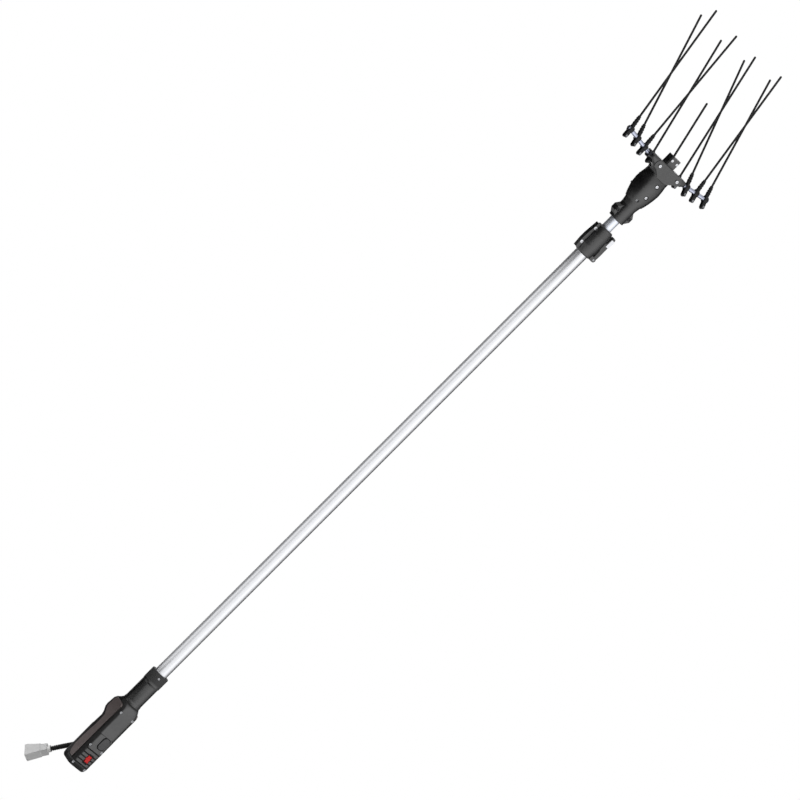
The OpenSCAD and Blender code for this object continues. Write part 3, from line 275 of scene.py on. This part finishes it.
bpy.context.scene.view_settings.view_transform = "Standard"
makeCamera(cameraSettings)
makeLights(lightSettings)
makeCards(cardSettings)
makeFootCard(footCardSettings)
makeRoom(roomSettings)
makeFloor(floorSettings)
print("studio: camera, lamps, cards, pale floor, white world")


# finishes: moulded plastic and drawn metal

grainSettings = {
    # noise scale and depth of a moulding's grain
    "coarse": (1700.0, 0.12 * mm),
    "switch": (1800.0, 0.03 * mm),
    "rubber": (1500.0, 0.05 * mm),
    "rod": (1200.0, 0.04 * mm),
}
mouldedSettings = {
    # name: shade, lift of the paler patches, roughness, shine, grain
    "caseBlack": ((16, 16, 17), 1.3, 0.36, 0.75, "coarse"),
    "handleBlack": ((56, 56, 57), 1.2, 0.42, 0.7, "coarse"),
    "rearBlack": ((24, 24, 25), 1.25, 0.42, 0.3, "coarse"),
    "clampBlack": ((16, 16, 17), 1.25, 0.4, 0.75, "coarse"),
    "neckBlack": ((14, 14, 15), 1.25, 0.36, 0.75, "coarse"),
    "bushBlack": ((24, 24, 25), 1.25, 0.4, 0.3, "coarse"),
    "coverBrown": ((118, 108, 107), 1.15, 0.5, 0.25, "coarse"),
    "buttonGrey": ((62, 62, 64), 1.2, 0.5, 0.5, "coarse"),
    "switchRed": ((222, 30, 26), 1.1, 0.42, 0.3, "switch"),
    "boardGreen": ((42, 104, 58), 1.2, 0.5, 0.5, "coarse"),
    "cordRubber": ((18, 18, 18), 1.3, 0.5, 0.25, "rubber"),
    "whiteRing": ((252, 252, 251), 1.01, 0.35, 0.5, "coarse"),
    "plugGrey": ((232, 232, 232), 1.04, 0.55, 0.5, "coarse"),
    "tineBlack": ((18, 18, 19), 1.3, 0.4, 0.25, "rod"),
}
patchSettings = {
    # noise scale and detail of a moulding's patches of shade and of gloss, and of its grain
    "shade": (60.0, 4.0),
    "gloss": (190.0, 3.0),
    "glossRange": 0.06,
    "grainDetail": 2.0,
}
lineSettings = {
    # stretch, noise scale and depth of the drawn lines on metal
    "tube": ((1.0, 1.0, 0.02), 1400.0, 0.006 * mm),
    "shaft": ((0.04, 1.0, 1.0), 900.0, 0.006 * mm),
    "screw": ((1.0, 1.0, 1.0), 700.0, 0.01 * mm),
    "contact": ((1.0, 1.0, 0.1), 900.0, 0.01 * mm),
    "can": ((1.0, 1.0, 0.05), 700.0, 0.01 * mm),
}
metalSettings = {
    # name: shade, roughness, metallic share, drawn lines
    "contactBrass": ((196, 164, 104), 0.3, 1.0, "contact"),
    "tubeAluminium": ((196, 197, 200), 0.34, 1.0, "tube"),
    "slideAluminium": ((214, 218, 226), 0.5, 1.0, "tube"),
    "shaftSteel": ((166, 170, 186), 0.3, 1.0, "shaft"),
    "screwSteel": ((138, 139, 142), 0.35, 1.0, "screw"),
    "brightScrew": ((184, 185, 188), 0.3, 1.0, "screw"),
    "blackBolt": ((46, 46, 48), 0.45, 0.6, "screw"),
    "motorSteel": ((150, 152, 156), 0.35, 1.0, "can"),
}
drawnSettings = {"detail": 3.0, "dull": 0.9, "smoother": 0.05, "rougher": 0.07}
rampStops = (0.3, 0.7)


def linear(shade):
    # a screen colour as linear light
    def one(v):
        v = v / 255.0
        return v / 12.92 if v <= 0.04045 else ((v + 0.055) / 1.055) ** 2.4
    return tuple(one(v) for v in shade) + (1.0,)


def times(colour, factor):
    return tuple(min(1.0, c * factor) for c in colour[:3]) + (1.0,)


def newFinish(name):
    mat = bpy.data.materials.new(name)
    mat.use_nodes = True
    tree = mat.node_tree
    coords = tree.nodes.new("ShaderNodeTexCoord").outputs["Object"]
    return mat, tree, tree.nodes["Principled BSDF"], coords


def noise(tree, coords, scale, detail):
    inputs = {"Vector": coords, "Scale": scale, "Detail": detail}
    return addNode(tree, "ShaderNodeTexNoise", inputs).outputs["Fac"]


def ramp(tree, fac, low, high):
    node = addNode(tree, "ShaderNodeValToRGB", {"Fac": fac})
    for stop, place, colour in zip(node.color_ramp.elements, rampStops, (low, high)):
        stop.position = place
        stop.color = colour
    return node.outputs["Color"]


def spread(tree, fac, low, high):
    inputs = {"Value": fac, "To Min": low, "To Max": high}
    return addNode(tree, "ShaderNodeMapRange", inputs).outputs["Result"]


def dress(tree, shader, colour, roughness, height, depth):
    relief = addNode(tree, "ShaderNodeBump", {"Height": height, "Distance": depth})
    tree.links.new(colour, shader.inputs["Base Color"])
    tree.links.new(roughness, shader.inputs["Roughness"])
    tree.links.new(relief.outputs["Normal"], shader.inputs["Normal"])


def moulded(name, shade, lift, roughness, shine, grain, s):
    mat, tree, shader, coords = newFinish(name)
    base = linear(shade)
    scale, depth = grainSettings[grain]
    colour = ramp(tree, noise(tree, coords, *s["shade"]), base, times(base, lift))
    gloss = spread(tree, noise(tree, coords, *s["gloss"]),
                   roughness - s["glossRange"], roughness + s["glossRange"])
    dress(tree, shader, colour, gloss, noise(tree, coords, scale, s["grainDetail"]), depth)
    shader.inputs["Specular IOR Level"].default_value = shine
    return mat


def drawnMetal(name, shade, roughness, metallic, lines, s):
    mat, tree, shader, coords = newFinish(name)
    base = linear(shade)
    stretch, scale, depth = lineSettings[lines]
    mapping = addNode(tree, "ShaderNodeMapping", {"Vector": coords, "Scale": stretch})
    drawn = noise(tree, mapping.outputs["Vector"], scale, s["detail"])
    colour = ramp(tree, drawn, times(base, s["dull"]), base)
    gloss = spread(tree, drawn, roughness - s["smoother"], roughness + s["rougher"])
    dress(tree, shader, colour, gloss, drawn, depth)
    shader.inputs["Metallic"].default_value = metallic
    return mat


finishes = {}
for name, row in mouldedSettings.items():
    finishes[name] = moulded(name, *row, patchSettings)
for name, row in metalSettings.items():
    finishes[name] = drawnMetal(name, *row, drawnSettings)


# painted shade on the mouldings: in grooves and seams, along edges, on the foot and round screws

# colour and roughness of the painted shade
paintedShadeSettings = {"shade": (6, 6, 6), "roughness": 0.95}
rootLimits = [("high", "fade", -53.0, -48.5)]
footLimits = [("high", "fade", -216.0, -229.0)]
alongCovers = [("across", "above", 20.0), ("high", "above", -222.0), ("high", "below", -56.0)]
paintedShadePlaces = [
    # finish, and what limits the painted shade, in mm: across from the middle, deep to the back,
    # high up
    # painted shade in what is cut below the handle's front, which lies at 30 mm
    ("handleBlack", [("deep", "above", -29.0), ("deep", "below", -27.2), ("across", "below", 20.5),
                     ("high", "above", -229.0), ("high", "below", -137.0)]),
    # painted shade on both sides of the seam along the front edge of the side covers
    ("handleBlack", [("deep", "fade", -27.0, -23.0)] + alongCovers),
    ("coverBrown", [("deep", "fade", -19.6, -21.4)] + alongCovers),
    # painted shade round the root of the neck, and darker towards the bottom of the foot
    ("handleBlack", rootLimits),
    ("handleBlack", footLimits),
    ("rearBlack", rootLimits),
    ("rearBlack", footLimits),
    # painted shade along both long, rounded edges of the handle's front, and round its shoulders
    ("handleBlack", [("across", "fade", 16.5, 22.0), ("high", "above", -222.0)]),
]
compare = {"above": "GREATER_THAN", "below": "LESS_THAN"}
ringSettings = {
    # painted shade in rings round the two screws in the front of the gear case, where they sit in
    # it
    "radius": 5.6 * mm,
    "front": -12 * mm,
    "heights": (1555.85 * mm, 1589.95 * mm),
}
bandSettings = {
    # the end of the handle's neck is dull where it grips the tube
    "from": 20 * mm,
    "to": 24 * mm,
    "duller": 0.4,
}
# sockets of a Mix node for what it mixes: first, second, result
mixSockets = {"FLOAT": (2, 3, 0), "RGBA": (6, 7, 2)}


def axesOf(tree):
    coords = next(n for n in tree.nodes if n.bl_idname == "ShaderNodeTexCoord")
    parts = addNode(tree, "ShaderNodeSeparateXYZ", {0: coords.outputs["Object"]}).outputs
    return {"across": calc(tree, "ABSOLUTE", parts["X"]), "deep": parts["Y"], "high": parts["Z"]}


def mixOver(tree, socket, mask, kind, value):
    first, second, result = mixSockets[kind]
    inputs = {0: mask, first: socket.links[0].from_socket, second: value}
    node = addNode(tree, "ShaderNodeMix", inputs, data_type=kind)
    tree.links.new(node.outputs[result], socket)


# mixes painted shade over a finish's colour and roughness
def paintShadeOver(tree, mask, s):
    inputs = tree.nodes["Principled BSDF"].inputs
    mixOver(tree, inputs["Base Color"], mask, "RGBA", linear(s["shade"]))
    mixOver(tree, inputs["Roughness"], mask, "FLOAT", s["roughness"])


# painted shade within the given limits
def paintShadeWithin(tree, limits):
    axes = axesOf(tree)
    factors = []
    for axis, kind, *places in limits:
        places = [mm * p for p in places]
        if kind == "fade":
            factors.append(fade(tree, axes[axis], *places))
        else:
            factors.append(calc(tree, compare[kind], axes[axis], *places))
    paintShadeOver(tree, product(tree, factors), paintedShadeSettings)


def paintedShadeRings(tree, s):
    axes = axesOf(tree)
    rings = []
    for height in s["heights"]:
        rise = calc(tree, "SUBTRACT", axes["high"], height)
        square = calc(tree, "ADD", product(tree, [rise, rise]),
                      product(tree, [axes["across"], axes["across"]]))
        rings.append(calc(tree, "LESS_THAN", square, s["radius"] ** 2))
    inFront = calc(tree, "LESS_THAN", axes["deep"], s["front"])
    mask = product(tree, [calc(tree, "MAXIMUM", *rings), inFront])
    paintShadeOver(tree, mask, paintedShadeSettings)


def dullBand(tree, s):
    rough = tree.nodes["Principled BSDF"].inputs["Roughness"]
    band = addNode(tree, "ShaderNodeMapRange", {
        "Value": axesOf(tree)["high"],
        "From Min": s["from"],
        "From Max": s["to"],
        "To Max": s["duller"],
    })
    dull = calc(tree, "ADD", rough.links[0].from_socket, band.outputs["Result"])
    tree.links.new(dull, rough)


# painted shade in the listed places on the handle, and round the case screws
for finish, limits in paintedShadePlaces:
    paintShadeWithin(finishes[finish].node_tree, limits)
paintedShadeRings(finishes["caseBlack"].node_tree, ringSettings)
dullBand(finishes["neckBlack"].node_tree, bandSettings)


# which finish each node has

longTines = (1, 2, 3, 4, 6, 7, 8, 9)
finishOf = {
    "caseBlack": ["case_front", "case_rear", "cross_cover", "nose_block"],
    "clampBlack": ["neck_front", "neck_rear", "collar_body", "lock_lever"],
    "handleBlack": ["handle_front"],
    "rearBlack": ["handle_rear"],
    "neckBlack": ["neck_sleeve"],
    "bushBlack": ["shaft_bushes"],
    "coverBrown": ["left_side_cover", "right_side_cover"],
    "buttonGrey": ["push_button"],
    "switchRed": ["rocker_switch"],
    "boardGreen": ["control_board"],
    "cordRubber": ["cable_gland", "coil_cable", "motor_lead", "brake_pad"],
    "whiteRing": ["cord_ferrule", "slide_bush"],
    "plugGrey": ["plug_body"],
    "tineBlack": ["tine_5"] + ["tine_%d" % i for i in longTines]
                 + ["tine_holder_%d" % i for i in longTines],
    "contactBrass": ["plug_contacts"],
    "tubeAluminium": ["outer_tube"],
    "slideAluminium": ["inner_tube"],
    "shaftSteel": ["left_shaft", "right_shaft", "crank", "yoke", "yoke_guides"],
    "screwSteel": ["handle_screws", "lever_pin", "left_holder_screws", "right_holder_screws"],
    "brightScrew": ["case_screws", "collar_screws", "lever_plate"],
    "blackBolt": ["neck_bolts"],
    "motorSteel": ["motor", "gearbox"],
}

for finish, names in finishOf.items():
    for name in names:
        data = nodes[name].data
        data.materials.clear()
        data.materials.append(finishes[finish])
print("finishes:", len(finishes), "on", sum(len(n) for n in finishOf.values()), "nodes")


# mouldings: the lofted shells shade smoothly, and the plain ones have soft edges

mouldingSettings = {
    # node: body, slot, edge radius in mm
    "case_front": ("head", "black_plastic", 0),
    "case_rear": ("head", "black_plastic", 0),
    "handle_front": ("handle", "black_plastic", 0),
    "handle_rear": ("handle", "black_plastic", 0),
    "left_side_cover": ("handle", "brown_grey_plastic", 0.7),
    "right_side_cover": ("handle", "brown_grey_plastic", 0.7),
    "cross_cover": ("head", "black_plastic", 0.6),
    "nose_block": ("head", "black_plastic", 0.8),
}
edgeSettings = {
    "weld": 0.002 * mm,
    "flat": 0.4,         # degrees, below which faces join into one
    "sharp": 32.0,       # degrees, above which an edge stays sharp or is softened
    "segments": 2,
}


def makeMoulding(name, body, radius, s):
    flat, sharp = math.radians(s["flat"]), math.radians(s["sharp"])
    mesh = nodes[name].data.copy()
    form = bmesh.new()
    form.from_mesh(mesh)
    bmesh.ops.remove_doubles(form, verts=form.verts, dist=s["weld"])
    bmesh.ops.dissolve_limit(form, angle_limit=flat, verts=form.verts, edges=form.edges)
    for face in form.faces:
        face.smooth = True
    for edge in form.edges:
        edge.smooth = edge.calc_face_angle(math.pi) < sharp
    form.to_mesh(mesh)
    form.free()
    piece = addObject(name + "_moulding", mesh)
    if radius:
        soft = piece.modifiers.new("softEdge", "BEVEL")
        soft.width = radius * mm
        soft.segments = s["segments"]
        soft.limit_method = "ANGLE"
        soft.angle_limit = sharp
        soft.harden_normals = True
    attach(piece, body)
    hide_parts(name)


for name, (body, slot, radius) in mouldingSettings.items():
    makeMoulding(name, body, radius, edgeSettings)
print("mouldings:", len(mouldingSettings))


# ribbed cord, from the strain relief to the plug

cordSettings = {
    # the route is in mm
    "route": [
        (0, 37, -203), (0, 40.5, -206), (0, 44, -209), (0, 47.5, -212.5), (-0.5, 50.5, -216),
        (-1, 53.5, -219.5), (-1.5, 56.5, -223), (-2.5, 59.5, -227), (-3.5, 62.5, -231),
        (-4.5, 65.5, -235), (-5.5, 68, -239), (-7, 70.5, -243), (-8.5, 73, -247.5),
        (-10, 75.5, -252), (-12, 78, -256.5),
    ],
    "diameter": 11.5 * mm,
    "ribHigh": 1.4 * mm,
    "ribPitch": 4.6 * mm,
    "ribSlope": 0.5,      # of a rib's wave, from -1 to 1, what lies further out is flat
    "ringsPerRib": 12,
    "sides": 40,
    "onCord": ("cable_gland", "cord_ferrule", "plug_body", "plug_contacts"),
}


def ribbedHoseTree(slope):
    tree = bpy.data.node_groups.new("ribbedHose", "GeometryNodeTree")
    sockets = {"Geometry": "Geometry", "Radius": "Float", "Rib High": "Float", "Rib Pitch": "Float",
               "Ring Step": "Float", "Sides": "Int", "Material": "Material"}
    for name, kind in sockets.items():
        tree.interface.new_socket(name, in_out="INPUT", socket_type="NodeSocket" + kind)
    tree.interface.new_socket("Geometry", in_out="OUTPUT", socket_type="NodeSocketGeometry")
    given = tree.nodes.new("NodeGroupInput").outputs
    even = addNode(tree, "GeometryNodeResampleCurve", {
        "Curve": given["Geometry"],
        "Length": given["Ring Step"],
    }, mode="LENGTH")
    along = tree.nodes.new("GeometryNodeSplineParameter").outputs["Length"]
    turns = calc(tree, "DIVIDE", along, given["Rib Pitch"])
    wave = calc(tree, "COSINE", calc(tree, "MULTIPLY", turns, 2 * math.pi))
    groove = fade(tree, wave, slope, -slope)   # 0 on a crest, 1 in a groove
    sink = calc(tree, "MULTIPLY", groove, given["Rib High"])
    ring = addNode(tree, "GeometryNodeCurvePrimitiveCircle", {
        "Resolution": given["Sides"],
        "Radius": 1.0,
    })
    sweep = addNode(tree, "GeometryNodeCurveToMesh", {
        "Curve": even.outputs["Curve"],
        "Profile Curve": ring.outputs["Curve"],
        "Scale": calc(tree, "SUBTRACT", given["Radius"], sink),
        "Fill Caps": True,
    })
    smooth = addNode(tree, "GeometryNodeSetShadeSmooth", {"Geometry": sweep.outputs["Mesh"]})
    whole = addNode(tree, "GeometryNodeRealizeInstances", {"Geometry": smooth.outputs["Geometry"]})
    paint = addNode(tree, "GeometryNodeSetMaterial", {
        "Geometry": whole.outputs["Geometry"],
        "Material": given["Material"],
    })
    addNode(tree, "NodeGroupOutput", {"Geometry": paint.outputs["Geometry"]})
    return tree


def setInputs(modifier, values):
    for item in modifier.node_group.interface.items_tree:
        if item.in_out == "INPUT" and item.name in values:
            modifier[item.identifier] = values[item.name]


def plainMesh(obj, name):
    evaluated = obj.evaluated_get(bpy.context.evaluated_depsgraph_get())
    mesh = bpy.data.meshes.new_from_object(evaluated)
    obj.modifiers.clear()
    bpy.data.objects.remove(obj)
    return addObject(name, mesh)


def makeCord(s):
    points = [mm * Vector(p) for p in s["route"]]
    curve = bpy.data.curves.new("cordRoute", "CURVE")
    curve.dimensions = "3D"
    spline = curve.splines.new("POLY")
    spline.points.add(len(points) - 1)
    for point, at in zip(spline.points, points):
        point.co = (*at, 1.0)
    obj = addObject("cordRoute", curve)
    modifier = obj.modifiers.new("ribs", "NODES")
    modifier.node_group = ribbedHoseTree(s["ribSlope"])
    setInputs(modifier, {
        "Radius": s["diameter"] / 2,
        "Rib High": s["ribHigh"],
        "Rib Pitch": s["ribPitch"],
        "Ring Step": s["ribPitch"] / s["ringsPerRib"],
        "Sides": s["sides"],
        "Material": finishes["cordRubber"],
    })
    piece = plainMesh(obj, "ribbed_cord")
    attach(piece, "handle")
    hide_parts("cord")


makeCord(cordSettings)
print("cord: ribbed hose with its plug")
